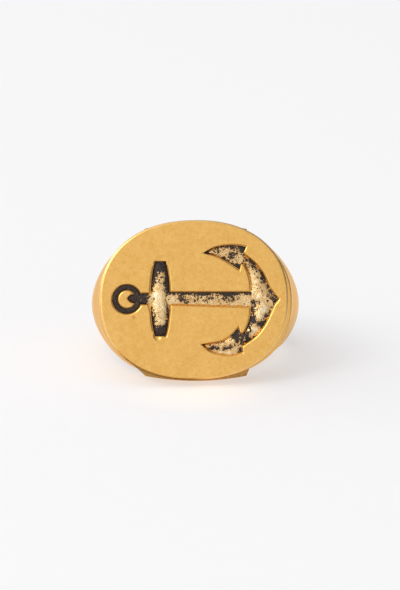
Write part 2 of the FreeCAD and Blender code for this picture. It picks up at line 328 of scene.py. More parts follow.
@dataclass(frozen=True)
class RingFrame:
    """How the ring's own frame, in millimetres, lies in the row's frame, in metres."""

    matrix: Matrix

    @classmethod
    def from_record(cls, record: dict) -> "RingFrame":
        """Read it off the finger hole's mount.

        Args:
            record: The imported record.

        Returns:
            The frame.
        """
        bore = next(mount for mount in record["mounts"] if mount["name"] == "finger_bore")
        up = Vector(bore["axis"]).normalized()
        across = Vector((1.0, 0.0, 0.0))
        turn = Matrix((across, up.cross(across), up)).transposed().to_4x4()
        scale = Matrix.Scale(MILLIMETRE, 4)
        return cls(Matrix.Translation(bore["pos_m"]) @ turn @ scale)

    def point(self, across: float, depth: float, up: float) -> Vector:
        """A point of the ring, in the row's frame."""
        return self.matrix @ Vector((across, -depth, up))


def smooth_step(value: float, low: float, high: float) -> float:
    """A smooth step from 0 at low to 1 at high."""
    share = min(1.0, max(0.0, (value - low) / (high - low)))
    return share * share * (3.0 - 2.0 * share)


def bend(points: Sequence[Point], per_span: int = 12) -> list[Vector]:
    """A smooth curve through points.

    Args:
        points: The points that it passes.
        per_span: Steps from each to the next.

    Returns:
        Points along the curve.
    """
    knots = [Vector(p) for p in points]
    before = knots[0] * 2.0 - knots[1]
    after = knots[-1] * 2.0 - knots[-2]
    knots = [before, *knots, after]
    curve = []
    for a, b, c, d in zip(knots, knots[1:], knots[2:], knots[3:]):
        for step in range(per_span):
            t = step / per_span
            curve.append(
                0.5
                * (
                    2.0 * b
                    + (c - a) * t
                    + (2.0 * a - 5.0 * b + 4.0 * c - d) * t * t
                    + (3.0 * b - a - 3.0 * c + d) * t * t * t
                )
            )
    curve.append(knots[-2])
    return curve


def even(curve: Sequence[Vector], count: int) -> list[Vector]:
    """The same curve with its points evenly spaced.

    Args:
        curve: Points along it.
        count: How many points to give.

    Returns:
        The spaced points.
    """
    reach = [0.0]
    for one, two in zip(curve, curve[1:]):
        reach.append(reach[-1] + (two - one).length)
    spaced, index = [], 0
    for step in range(count):
        goal = reach[-1] * step / (count - 1)
        while index < len(curve) - 2 and reach[index + 1] < goal:
            index += 1
        span = max(reach[index + 1] - reach[index], 1e-9)
        spaced.append(curve[index].lerp(curve[index + 1], (goal - reach[index]) / span))
    return spaced


@dataclass(frozen=True)
class Oval:
    """A rounded oval, a little fuller than an ellipse."""

    half_width: float
    half_height: float
    middle: Point = (0.0, 0.0)
    fullness: float = 2.24
    turn: float = 0.0

    def at(self, angle: float) -> Vector:
        """The point of its outline at an angle, as x and z."""
        c, s = math.cos(angle), math.sin(angle)
        power = 2.0 / self.fullness
        x = self.half_width * math.copysign(abs(c) ** power, c)
        z = self.half_height * math.copysign(abs(s) ** power, s)
        turned = Vector((x, z)) @ Matrix.Rotation(-self.turn, 2)
        return turned + Vector(self.middle)


def oval_block(oval: Oval, back: float, front: float, segments: int = 256) -> bmesh.types.BMesh:
    """A flat block with an oval outline.

    Args:
        oval: The outline.
        back: Depth of its back.
        front: Depth of its front.
        segments: Corners of the outline.

    Returns:
        The block.
    """
    bm = bmesh.new()
    bmesh.ops.create_circle(bm, cap_ends=True, segments=segments, radius=1.0)
    for vert in bm.verts:
        spot = oval.at(math.atan2(vert.co.y, vert.co.x))
        vert.co = (spot.x, -back, spot.y)
    raised = bmesh.ops.extrude_face_region(bm, geom=bm.faces[:])["geom"]
    verts = [item for item in raised if isinstance(item, bmesh.types.BMVert)]
    bmesh.ops.translate(bm, verts=verts, vec=(0.0, back - front, 0.0))
    bmesh.ops.recalc_face_normals(bm, faces=bm.faces[:])
    return bm


def round_edges(
    bm: bmesh.types.BMesh, edges: Iterable[bmesh.types.BMEdge], radius: float, segments: int = 3
) -> None:
    """Round some edges.

    Args:
        bm: The mesh.
        edges: Its edges to round.
        radius: How wide the rounding is.
        segments: Its steps.
    """
    bmesh.ops.bevel(
        bm,
        geom=list(edges),
        offset=radius,
        offset_type="OFFSET",
        segments=segments,
        profile=0.5,
        affect="EDGES",
        clamp_overlap=False,
        material=-1,
    )


def rim_edges(bm: bmesh.types.BMesh, depth: float) -> list[bmesh.types.BMEdge]:
    """The sharp edges that lie wholly at one depth."""
    found = []
    for edge in bm.edges:
        level = all(abs(vert.co.y + depth) < 1e-4 for vert in edge.verts)
        if level and len(edge.link_faces) == 2 and edge.calc_face_angle() > 0.5:
            found.append(edge)
    return found


def piece_from(bm: bmesh.types.BMesh, name: str) -> bpy.types.Object:
    """A mesh object in the scene from a bmesh, which is freed."""
    mesh = bpy.data.meshes.new(name)
    bm.to_mesh(mesh)
    bm.free()
    piece = bpy.data.objects.new(name, mesh)
    bpy.context.scene.collection.objects.link(piece)
    return piece


def carve(
    bm: bmesh.types.BMesh, tools: Sequence[bmesh.types.BMesh], operation: str = "DIFFERENCE"
) -> bmesh.types.BMesh:
    """Cut one mesh with others, or join them on.

    Args:
        bm: The mesh to work on, which is freed.
        tools: The meshes to work with, which are freed.
        operation: The Boolean operation.

    Returns:
        The result.
    """
    work = piece_from(bm, "work")
    helpers = [piece_from(tool, "tool") for tool in tools]
    for helper in helpers:
        modifier = work.modifiers.new("cut", "BOOLEAN")
        modifier.operation, modifier.solver = operation, "EXACT"
        modifier.object = helper
    bpy.context.view_layer.update()
    graph = bpy.context.evaluated_depsgraph_get()
    made = bpy.data.meshes.new_from_object(work.evaluated_get(graph))
    result = bmesh.new()
    result.from_mesh(made)
    for item in (work, *helpers):
        mesh = item.data
        bpy.data.objects.remove(item)
        bpy.data.meshes.remove(mesh)
    bpy.data.meshes.remove(made)
    return result


@dataclass
class Bench:
    """Lays finished meshes down in the row's frame, hangs them on the body, and hides the CAD nodes that they stand
    for.
    """

    ring: RingFrame

    def finish(
        self,
        bm: bmesh.types.BMesh,
        name: str,
        material: bpy.types.Material,
        stands_for: Sequence[str],
        sharp: float = 32.0,
    ) -> bpy.types.Object:
        """Make a piece of a mesh.

        Args:
            bm: The mesh, in ring millimetres.
            name: The piece's name.
            material: Its finish.
            stands_for: The CAD nodes that it replaces.
            sharp: Angle in degrees above which an edge stays sharp.

        Returns:
            The piece.
        """
        bmesh.ops.transform(bm, matrix=self.ring.matrix, verts=bm.verts)
        for face in bm.faces:
            face.smooth = True
        piece = piece_from(bm, name)
        marked = [edge.use_edge_sharp for edge in piece.data.edges]
        piece.data.set_sharp_from_angle(angle=math.radians(sharp))
        for edge, mark in zip(piece.data.edges, marked):
            edge.use_edge_sharp |= mark
        piece.data.materials.append(material)
        even_out = piece.modifiers.new("even_normals", "WEIGHTED_NORMAL")
        even_out.keep_sharp = True
        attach(piece, BODY)
        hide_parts(*stands_for)
        log.info("%s: %d faces, for %s", name, len(piece.data.polygons), ", ".join(stands_for))
        return piece


# ------------------------------------------------------------------ finishes


@dataclass(frozen=True)
class Gilt:
    """Worn gilt metal: faintly mottled, with hairline scratches and small pits."""

    name: str
    light: Colour = (0.87, 0.53, 0.163)
    deep: Colour = (0.75, 0.415, 0.105)
    roughness: float = 0.3
    grain_mm: float = 0.004
    scratch: float = 0.3
    edge_tint: Colour = (0.98, 0.74, 0.36)
    # Colour for tarnish and for painted shade in grooves and under the ring.
    tarnish_and_shade_colour: Colour = (0.13, 0.045, 0.016)
    rubbed: Colour = (1.0, 0.88, 0.62)

    def make(self, ring: RingFrame) -> bpy.types.Material:
        """Build the material.

        Args:
            ring: The ring's frame.

        Returns:
            The material.
        """
        shader = Shader(self.name, ring)
        cloud = shader.noise(0.45, 3.0, 0.6)
        mottle = shader.noise(2.6, 3.0, 0.6)
        grain = shader.noise(5.5, 2.0, 0.6)
        lines = shader.hairlines(82.0, 3.0).larger(shader.hairlines(17.0, 11.0))
        lines = lines.larger(shader.hairlines(-38.0, 23.0, 0.004))
        tone = (0.5 + (cloud - 0.5) * 0.9 + (mottle - 0.5) * 1.5 + (grain - 0.5) * 1.4).kept()
        colour = shader.colour_mix(tone, self.deep, self.light)
        colour = shader.colour_mix(lines * (0.3 * self.scratch), colour, (1.0, 0.8, 0.45))
        # The mesh attribute read here darkens the gilt: real tarnish and dirt in places, painted shade in grooves
        # and under the ring elsewhere; below zero it pales rubbed edges.
        darkening = shader.attribute(TARNISH_AND_PAINTED_SHADE)
        patchy = (darkening * (0.55 + mottle * 0.9) + (grain - 0.5) * darkening).kept()
        colour = shader.colour_mix(patchy, colour, self.tarnish_and_shade_colour)
        colour = shader.colour_mix((0.0 - darkening).kept(), colour, self.rubbed)
        rough = self.roughness + (mottle - 0.5) * 0.14 + lines * 0.1 + (grain - 0.5) * 0.1
        rough = rough + patchy * 0.2
        height = grain * 0.5 + mottle * 1.4 + cloud * 2.0 - lines * (0.9 * self.scratch)
        return shader.surface(
            Base_Color=colour,
            Metallic=1.0,
            Specular_Tint=self.edge_tint,
            Roughness=rough.kept(),
            Normal=shader.bump(height, self.grain_mm),
        )


@dataclass(frozen=True)
class WornBlack:
    """Black enamel rubbed through to the gilt relief under it."""

    name: str
    gold: Colour = (0.70, 0.43, 0.17)
    pale: Colour = (0.93, 0.71, 0.40)
    # Pale gold for rubbed spots, which on the lower arm is also a painted highlight.
    rubbed_gold_and_highlight: Colour = (1.0, 0.86, 0.60)
    black: Colour = (0.010, 0.007, 0.006)
    brown: Colour = (0.10, 0.05, 0.034)

    def make(self, ring: RingFrame) -> bpy.types.Material:
        """Build the material.

        Args:
            ring: The ring's frame.

        Returns:
            The material.
        """
        shader = Shader(self.name, ring)
        cover = shader.attribute(COVER)
        blotch = shader.noise(1.9, 2.0, 0.55)
        crumb = shader.noise(4.6, 2.0, 0.6)
        speck = shader.noise(10.0, 1.0, 0.5)
        level = cover + (blotch - 0.5) * 1.1 + (crumb - 0.5) * 2.2 + (speck - 0.5) * 1.1
        mask = level.step(0.46, 0.54)
        gold = shader.colour_mix(crumb.step(0.4, 0.66), self.gold, self.pale)
        # Where the black is rubbed well away the gold is painted pale: wear, and on the lower arm a painted
        # highlight.
        gold = shader.colour_mix((0.0 - level).step(0.1, 0.55), gold, self.rubbed_gold_and_highlight)
        darkening = level.step(0.25, 0.5) * 0.55
        gold = shader.colour_mix(darkening, gold, (0.42, 0.24, 0.09))
        dark = shader.colour_mix(speck.step(0.5, 0.68) * 0.8, self.black, self.brown)
        height = crumb * 1.1 + speck * 0.6 + mask * 0.5
        return shader.surface(
            Base_Color=shader.colour_mix(mask, gold, dark),
            Metallic=1.0 - mask,
            Specular_IOR_Level=0.35,
            Roughness=(0.24 + mask * 0.22 + (speck - 0.5) * 0.3).kept(),
            Normal=shader.bump(height, 0.035),
        )


@dataclass(frozen=True)
class Seam:
    """Solder and dirt in a joint, dark brown with a dull shine."""

    name: str

    def make(self, ring: RingFrame) -> bpy.types.Material:
        """Build the material.

        Args:
            ring: The ring's frame.

        Returns:
            The material.
        """
        shader = Shader(self.name, ring)
        dirt = shader.noise(3.0, 3.0, 0.6)
        colour = shader.colour_mix(dirt.step(0.35, 0.65), (0.05, 0.022, 0.012), (0.26, 0.12, 0.04))
        return shader.surface(
            Base_Color=colour,
            Metallic=0.7,
            Roughness=(0.45 + (dirt - 0.5) * 0.3).kept(),
            Normal=shader.bump(dirt, 0.02),
        )


# ------------------------------------------------------------------ the anchor


TIP_HALF_WIDTH = 0.03


@dataclass(frozen=True)
class Patch:
    """A round spot where the black is thicker, or rubbed away when the amount is below zero, which also paints the
    bare gold pale: wear, and on the lower arm a painted highlight.
    """

    across: float
    up: float
    radius: float
    amount: float

    def weight(self, spot: Vector) -> float:
        """What it adds at a point of the face."""
        away = (spot - Vector((self.across, self.up))).length / self.radius
        return self.amount * math.exp(-away * away)


@dataclass(frozen=True)
class Relief:
    """One crowned limb of the anchor between two edges, with how its black has worn.

    The two edges run the same way along the limb.  Heights are above the sunk floor.
    """

    name: str
    stands_for: str
    near: tuple[Point, ...]
    far: tuple[Point, ...]
    columns: int
    rows: int
    rim: float = 0.08
    crown: float = 0.16
    roundness: float = 2.0
    start_drop: float = 0.0
    end_drop: float = 0.0
    plateau: float = 0.0
    cover: float = 0.3
    near_cover: float = 0.0
    far_cover: float = 0.0
    start_cover: float = 0.0
    start_reach: float = 0.15
    end_cover: float = 0.0
    end_reach: float = 0.15
    patches: tuple[Patch, ...] = ()

    def height(self, along: float, across: float) -> float:
        """Height above the floor.

        Args:
            along: 0 at the limb's start, 1 at its end.
            across: -1 at the near edge, 1 at the far edge.

        Returns:
            The height in millimetres.
        """
        swell = 1.0 - abs(across) ** self.roundness
        if self.plateau:
            swell = max(swell, 1.0 - smooth_step(along, 0.0, self.plateau))
        ends = 1.0
        if self.start_drop:
            ends *= smooth_step(along, -0.02, self.start_drop)
        if self.end_drop:
            ends *= smooth_step(1.0 - along, -0.02, self.end_drop)
        return self.rim + self.crown * swell * ends

    def blackness(self, along: float, across: float, spot: Vector) -> float:
        """How much black is left.

        Args:
            along: 0 at the limb's start, 1 at its end.
            across: -1 at the near edge, 1 at the far edge.
            spot: The point of the face.

        Returns:
            0 where it is bare and 1 where it is whole.
        """
        level = self.cover
        level += self.near_cover * smooth_step(-across, 0.25, 0.95)
        level += self.far_cover * smooth_step(across, 0.25, 0.95)
        level += self.start_cover * (1.0 - smooth_step(along, self.start_reach * 0.6, self.start_reach * 1.4))
        level += self.end_cover * (1.0 - smooth_step(1.0 - along, self.end_reach * 0.6, self.end_reach * 1.4))
        return level + sum(patch.weight(spot) for patch in self.patches)

    def build(self) -> bmesh.types.BMesh:
        """Model the limb as a closed solid that stands on the floor.

        Returns:
            The mesh.
        """
        bm = bmesh.new()
        bmesh.ops.create_grid(bm, x_segments=self.columns, y_segments=self.rows, size=1.0)
        layer = bm.verts.layers.float.new(COVER)
        near, far = bend(self.near), bend(self.far)
        count = self.columns + 1
        near, far = even(near, count), even(far, count)
        for vert in bm.verts:
            along, across = (vert.co.x + 1.0) / 2.0, vert.co.y
            index = round(along * self.columns)
            middle, reach = (near[index] + far[index]) / 2.0, (far[index] - near[index]) / 2.0
            reach = reach * 0.94 if reach.length > TIP_HALF_WIDTH else Vector((0.0, TIP_HALF_WIDTH))
            spot = middle + reach * across + Vector(PLATE_MIDDLE)
            vert[layer] = self.blackness(along, across, spot - Vector(PLATE_MIDDLE))
            ripple = noise.noise(Vector((spot.x, spot.y, 0.0)) * 3.1) * 0.018
            ripple += noise.noise(Vector((spot.x, spot.y, 4.0)) * 8.0) * 0.010
            vert.co = (spot.x, -(RECESS_FLOOR + self.height(along, across) + ripple), spot.y)
        border = [edge for edge in bm.edges if edge.is_boundary]
        skirt = bmesh.ops.extrude_edge_only(bm, edges=border)["geom"]
        for item in skirt:
            if isinstance(item, bmesh.types.BMVert):
                item.co.y = -(RECESS_FLOOR - 0.03)
        bmesh.ops.remove_doubles(bm, verts=bm.verts[:], dist=1e-4)
        bmesh.ops.holes_fill(bm, edges=[edge for edge in bm.edges if edge.is_boundary], sides=0)
        bmesh.ops.recalc_face_normals(bm, faces=bm.faces[:])
        return bm


STOCK_LEFT = ((-3.83, -3.5), (-4.08, -2.4), (-4.22, -1.1), (-4.26, 0.1), (-4.22, 1.35), (-4.08, 2.6), (-3.83, 3.72))
STOCK_RIGHT = ((-2.69, -3.5), (-2.44, -2.4), (-2.30, -1.1), (-2.26, 0.1), (-2.30, 1.35), (-2.44, 2.6), (-2.69, 3.72))
UPPER_OUTER = ((4.72, 4.56), (5.95, 3.52), (6.72, 2.52), (7.3, 1.25), (7.72, 0.62))
UPPER_INNER = ((4.47, 3.52), (4.78, 3.3), (5.15, 2.52), (5.36, 1.6), (5.38, 0.86))
LOWER_OUTER = ((4.6, -4.47), (5.95, -3.5), (6.85, -2.33), (7.42, -1.15), (7.75, -0.42))
LOWER_INNER = ((4.36, -3.12), (4.68, -3.14), (5.07, -2.42), (5.34, -1.45), (5.38, -0.76))
UPPER_FLUKE_OUTER = ((0.88, 4.5), (1.99, 5.09), (3.17, 5.31), (4.32, 5.31), (5.0, 5.16))
UPPER_FLUKE_INNER = ((0.88, 4.5), (1.99, 4.2), (3.01, 3.7), (4.34, 2.84))
LOWER_FLUKE_OUTER = ((0.71, -4.28), (1.54, -4.97), (2.57, -5.27), (3.74, -5.35), (4.67, -5.05))
LOWER_FLUKE_INNER = ((0.71, -4.28), (1.69, -4.1), (2.73, -3.87), (3.6, -3.28), (4.26, -2.51))
NECK_UPPER = ((-6.4, 0.16), (-6.13, 0.48), (-5.5, 0.64), (-4.25, 0.68))
NECK_LOWER = ((-6.4, 0.16), (-6.13, -0.2), (-5.5, -0.42), (-4.25, -0.48))
SHACKLE_MIDDLE: Point = (-6.47, 0.07)
CROWN_TIP: Point = (8.16, 0.1)

LIMBS = (
    Relief(
        "stock_relief",
        "stock_enamel",
        STOCK_LEFT,
        STOCK_RIGHT,
        150,
        34,
        rim=0.05,
        crown=0.27,
        roundness=2.4,
        start_drop=0.07,
        end_drop=0.07,
        cover=0.06,
        near_cover=0.62,
        far_cover=0.9,
        start_cover=1.0,
        start_reach=0.13,
        end_cover=1.0,
        end_reach=0.15,
        patches=(
            Patch(-4.1, 0.1, 0.8, -0.65),
            Patch(-2.35, -0.6, 0.5, -0.35),
            Patch(-3.95, 2.2, 0.6, 0.5),
            Patch(-4.0, -2.0, 0.5, 0.35),
            Patch(-2.45, 1.7, 0.55, 0.6),
            Patch(-2.45, 0.7, 0.4, 0.4),
            Patch(-3.0, -2.0, 0.35, -0.35),
        ),
    ),
    Relief(
        "stem_relief",
        "stem_enamel",
        ((-3.1, -0.52), (-1.0, -0.55), (2.0, -0.64), (5.5, -0.72)),
        ((-3.1, 0.8), (-1.0, 0.8), (2.0, 0.8), (5.5, 0.82)),
        150,
        26,
        rim=0.1,
        crown=0.14,
        roundness=3.2,
        cover=0.27,
        near_cover=-0.15,
        far_cover=0.6,
        patches=(
            Patch(-1.9, 0.1, 0.45, -0.3),
            Patch(-1.3, 0.3, 0.35, 0.5),
            Patch(-0.8, -0.1, 0.4, 0.4),
            Patch(1.2, 0.45, 0.6, 0.2),
            Patch(3.3, 0.4, 0.7, 0.3),
            Patch(4.9, -0.1, 0.6, -0.3),
        ),
    ),
    Relief(
        "eye_relief",
        "shackle_eye_enamel",
        NECK_LOWER[:-1] + ((-4.25, -0.48), (-3.6, -0.5)),
        NECK_UPPER[:-1] + ((-4.25, 0.68), (-3.6, 0.68)),
        60,
        20,
        rim=0.1,
        crown=0.16,
        roundness=2.2,
        start_drop=0.1,
        cover=0.95,
        end_cover=-0.85,
        end_reach=0.28,
    ),
    Relief(
        "crown_relief",
        "crown_enamel",
        ((7.2, 0.1), (7.68, -0.34), (8.1, 0.1)),
        ((7.2, 0.1), (7.68, 0.54), (8.1, 0.1)),
        24,
        18,
        rim=0.12,
        crown=0.1,
        end_drop=0.3,
        cover=0.72,
    ),
    Relief(
        "upper_arm_relief",
        "upper_arm_enamel",
        ((5.38, 0.06), (5.38, 0.5), *reversed(UPPER_INNER)),
        ((7.42, 0.06), (7.55, 0.35), *reversed(UPPER_OUTER)),
        110,
        34,
        rim=0.06,
        crown=0.19,
        roundness=1.8,
        plateau=0.26,
        cover=0.2,
        far_cover=0.4,
        patches=(
            Patch(6.1, 0.3, 0.7, -0.25),
            Patch(5.5, 2.1, 0.6, -0.3),
            Patch(5.4, 3.7, 0.55, 0.4),
            Patch(6.5, 2.2, 0.4, 0.35),
            Patch(5.9, 3.0, 0.4, 0.2),
        ),
    ),
    Relief(
        "lower_arm_relief",
        "lower_arm_enamel",
        ((5.38, 0.06), (5.38, -0.4), *reversed(LOWER_INNER)),
        ((7.42, 0.06), (7.6, -0.15), *reversed(LOWER_OUTER)),
        110,
        34,
        rim=0.06,
        crown=0.25,
        roundness=1.5,
        plateau=0.26,
        cover=0.22,
        far_cover=0.15,
        near_cover=0.4,
        patches=(
            # Spots far below zero rub the black off and paint the bare gold pale: a painted highlight along the
            # ridge where the key light glints, as well as wear.
            Patch(6.7, -0.55, 0.3, -0.75),
            Patch(6.6, -1.1, 0.28, -0.85),
            Patch(6.3, -1.6, 0.25, -0.7),
            Patch(6.9, -1.5, 0.35, 0.35),
            Patch(6.35, -2.3, 0.34, 0.8),
            Patch(5.85, -2.85, 0.28, -0.75),
            Patch(5.5, -3.3, 0.22, -0.5),
            Patch(6.0, -0.5, 0.4, 0.15),
            Patch(5.7, -1.9, 0.45, 0.5),
            Patch(5.3, -2.6, 0.3, 0.3),
            Patch(5.0, -3.7, 0.65, 0.65),
        ),
    ),
    Relief(
        "upper_fluke_relief",
        "upper_fluke_enamel",
        UPPER_FLUKE_INNER,
        UPPER_FLUKE_OUTER,
        100,
        38,
        rim=0.05,
        crown=0.17,
        roundness=1.7,
        start_drop=0.2,
        cover=0.26,
        far_cover=0.55,
        near_cover=0.15,
        start_cover=0.9,
        start_reach=0.14,
        patches=(
            Patch(4.75, 4.85, 0.42, 0.8),
            Patch(4.15, 3.0, 0.38, 0.95),
            Patch(3.6, 4.3, 0.3, 0.65),
            Patch(2.85, 3.95, 0.28, 0.65),
            Patch(4.3, 3.9, 0.45, -0.1),
            Patch(2.2, 4.6, 0.4, 0.2),
        ),
    ),
    Relief(
        "lower_fluke_relief",
        "lower_fluke_enamel",
        LOWER_FLUKE_INNER,
        LOWER_FLUKE_OUTER,
        100,
        38,
        rim=0.05,
        crown=0.17,
        roundness=1.7,
        start_drop=0.2,
        cover=0.16,
        far_cover=-0.1,
        near_cover=0.25,
        start_cover=0.9,
        start_reach=0.1,
        patches=(
            Patch(2.4, -5.05, 0.28, -0.5),
            Patch(3.2, -5.15, 0.28, -0.45),
            Patch(1.7, -4.6, 0.28, 0.7),
            Patch(2.3, -4.68, 0.25, 0.65),
            Patch(2.9, -4.7, 0.25, 0.65),
            Patch(3.5, -4.5, 0.3, 0.55),
            Patch(4.3, -4.0, 0.45, 0.6),
            Patch(4.45, -5.0, 0.32, 0.9),
            Patch(3.95, -3.2, 0.45, 0.95),
        ),
    ),
)


@dataclass
class Anchor:
    """The sunk anchor: what cuts it into the plate, and the relief that lies in it."""

    shackle_outer: float = 1.44
    shackle_inner: float = 0.85
    scoop: tuple[float, float, float] = (0.86, 0.5, 0.95)
    scoop_rise: float = 0.3
    pit: Point = (-5.8, -1.7)
    limbs: tuple[Relief, ...] = LIMBS

    def outline(self) -> list[Vector]:
        """The anchor's outline, all but the shackle ring, from the plate's middle.

        Returns:
            Points round it.
        """
        runs = (
            NECK_LOWER,
            STOCK_LEFT[2::-1],
            ((-3.83, -3.5), (-3.26, -3.6), (-2.69, -3.5)),
            STOCK_RIGHT[:3] + ((-2.27, -0.52),),
            ((-2.27, -0.52), (2.0, -0.64), (5.38, -0.76)),
            LOWER_INNER[::-1],
            LOWER_INNER[:1] + LOWER_FLUKE_INNER[-1:],
            LOWER_FLUKE_INNER[::-1],
            LOWER_FLUKE_OUTER,
            LOWER_FLUKE_OUTER[-1:] + LOWER_OUTER[:1],
            LOWER_OUTER,
            LOWER_OUTER[-1:] + (CROWN_TIP,),
            (CROWN_TIP,) + UPPER_OUTER[-1:],
            UPPER_OUTER[::-1],
            UPPER_OUTER[:1] + UPPER_FLUKE_OUTER[-1:],
            UPPER_FLUKE_OUTER[::-1],
            UPPER_FLUKE_INNER,
            UPPER_FLUKE_INNER[-1:] + UPPER_INNER[:1],
            UPPER_INNER,
            ((5.38, 0.82), (2.0, 0.8), (-2.28, 0.8)),
            ((-2.28, 0.8),) + STOCK_RIGHT[4:],
            ((-2.69, 3.72), (-3.26, 3.82), (-3.83, 3.72)),
            STOCK_LEFT[:3:-1] + ((-4.25, 0.68),),
            NECK_UPPER[::-1],
        )
        points: list[Vector] = []
        for run in runs:
            curve = bend(run, 10)
            length = sum((b - a).length for a, b in zip(curve, curve[1:]))
            points += even(curve, max(2, round(length / 0.16) + 1))[:-1]
        apart = [b for a, b in zip(points[-1:] + points, points) if (b - a).length > 0.03]
        return [point + Vector(PLATE_MIDDLE) for point in apart]

    def seat(self) -> bmesh.types.BMesh:
        """The tool that sinks the anchor."""
        bm = bmesh.new()
        corners = [bm.verts.new((spot.x, -RECESS_FLOOR, spot.y)) for spot in self.outline()]
        bm.faces.new(corners)
        raised = bmesh.ops.extrude_face_region(bm, geom=bm.faces[:])["geom"]
        verts = [item for item in raised if isinstance(item, bmesh.types.BMVert)]
        bmesh.ops.translate(bm, verts=verts, vec=(0.0, -1.0, 0.0))
        bmesh.ops.recalc_face_normals(bm, faces=bm.faces[:])
        return bm

    def ring_profile(self, bm: bmesh.types.BMesh, low: float, high: float, inset: float, round_top: bool) -> None:
        """Spin the shackle ring's section.

        Args:
            bm: The mesh to make it in.
            low: Depth of its bottom.
            high: Depth of its top.
            inset: How much narrower than its seat it is, on each side.
            round_top: Whether its top is rounded.
        """
        middle = Vector((SHACKLE_MIDDLE[0] + PLATE_MIDDLE[0], 0.0, SHACKLE_MIDDLE[1] + PLATE_MIDDLE[1]))
        inner, outer = self.shackle_inner + inset, self.shackle_outer - inset
        top = [(inner, high), (outer, high)]
        if round_top:
            half, centre = (outer - inner) / 2.0, (outer + inner) / 2.0
            shoulder = low + (high - low) * 0.45
            angles = [math.pi * step / 10.0 for step in range(11)]
            top = [
                (centre - half * math.cos(a), shoulder + (high - shoulder) * math.sin(a))
                for a in angles
            ]
        section = [(inner, low), *top, (outer, low)]
        verts = [bm.verts.new(middle + Vector((r, -depth, 0.0))) for r, depth in section]
        edges = [bm.edges.new(pair) for pair in zip(verts, verts[1:] + verts[:1])]
        bmesh.ops.spin(
            bm,
            geom=verts + edges,
            cent=middle,
            axis=(0.0, 1.0, 0.0),
            angle=math.tau,
            steps=72,
            use_merge=True,
            use_duplicate=False,
        )
        bmesh.ops.remove_doubles(bm, verts=bm.verts[:], dist=1e-4)
        bmesh.ops.recalc_face_normals(bm, faces=bm.faces[:])

    def shackle_seat(self) -> bmesh.types.BMesh:
        """The tool that sinks the shackle ring."""
        bm = bmesh.new()
        self.ring_profile(bm, RECESS_FLOOR, FACE_DEPTH + 0.5, 0.0, False)
        return bm

    def dent(self, middle: Point, size: Sequence[float], rise: float) -> bmesh.types.BMesh:
        """The tool for a smooth hollow in the face.

        Args:
            middle: Where it is, from the plate's middle.
            size: Half sizes of the ball that makes it.
            rise: How far in front of the face the ball's middle is.

        Returns:
            The tool.
        """
        bm = bmesh.new()
        bmesh.ops.create_uvsphere(bm, u_segments=56, v_segments=36, radius=1.0)
        bmesh.ops.scale(bm, vec=size, verts=bm.verts)
        spot = (middle[0] + PLATE_MIDDLE[0], -FACE_DEPTH - rise, middle[1] + PLATE_MIDDLE[1])
        bmesh.ops.translate(bm, verts=bm.verts, vec=spot)
        return bm

    def tools(self) -> list[bmesh.types.BMesh]:
        """Everything that is cut out of the plate."""
        return [
            self.seat(),
            self.shackle_seat(),
            self.dent((-3.26, 3.52), self.scoop, self.scoop_rise),
            self.dent((-3.5, -3.3), (0.6, 0.5, 0.85), self.scoop_rise),
            self.dent(self.pit, (0.13, 0.16, 0.17), 0.03),
        ]

    def dress(self, bench: Bench, black: bpy.types.Material) -> None:
        """Make the relief.

        Args:
            bench: Where pieces are finished.
            black: The worn enamel.
        """
        for limb in self.limbs:
            bench.finish(limb.build(), limb.name, black, [limb.stands_for], 50.0)
        bm = bmesh.new()
        self.ring_profile(bm, RECESS_FLOOR - 0.03, RECESS_FLOOR + 0.24, 0.03, True)
        layer = bm.verts.layers.float.new(COVER)
        for vert in bm.verts:
            vert[layer] = 1.15
        bench.finish(bm, "shackle_ring_relief", black, ["shackle_ring_enamel"], 50.0)


# ------------------------------------------------------------------ plate, collar, head, band


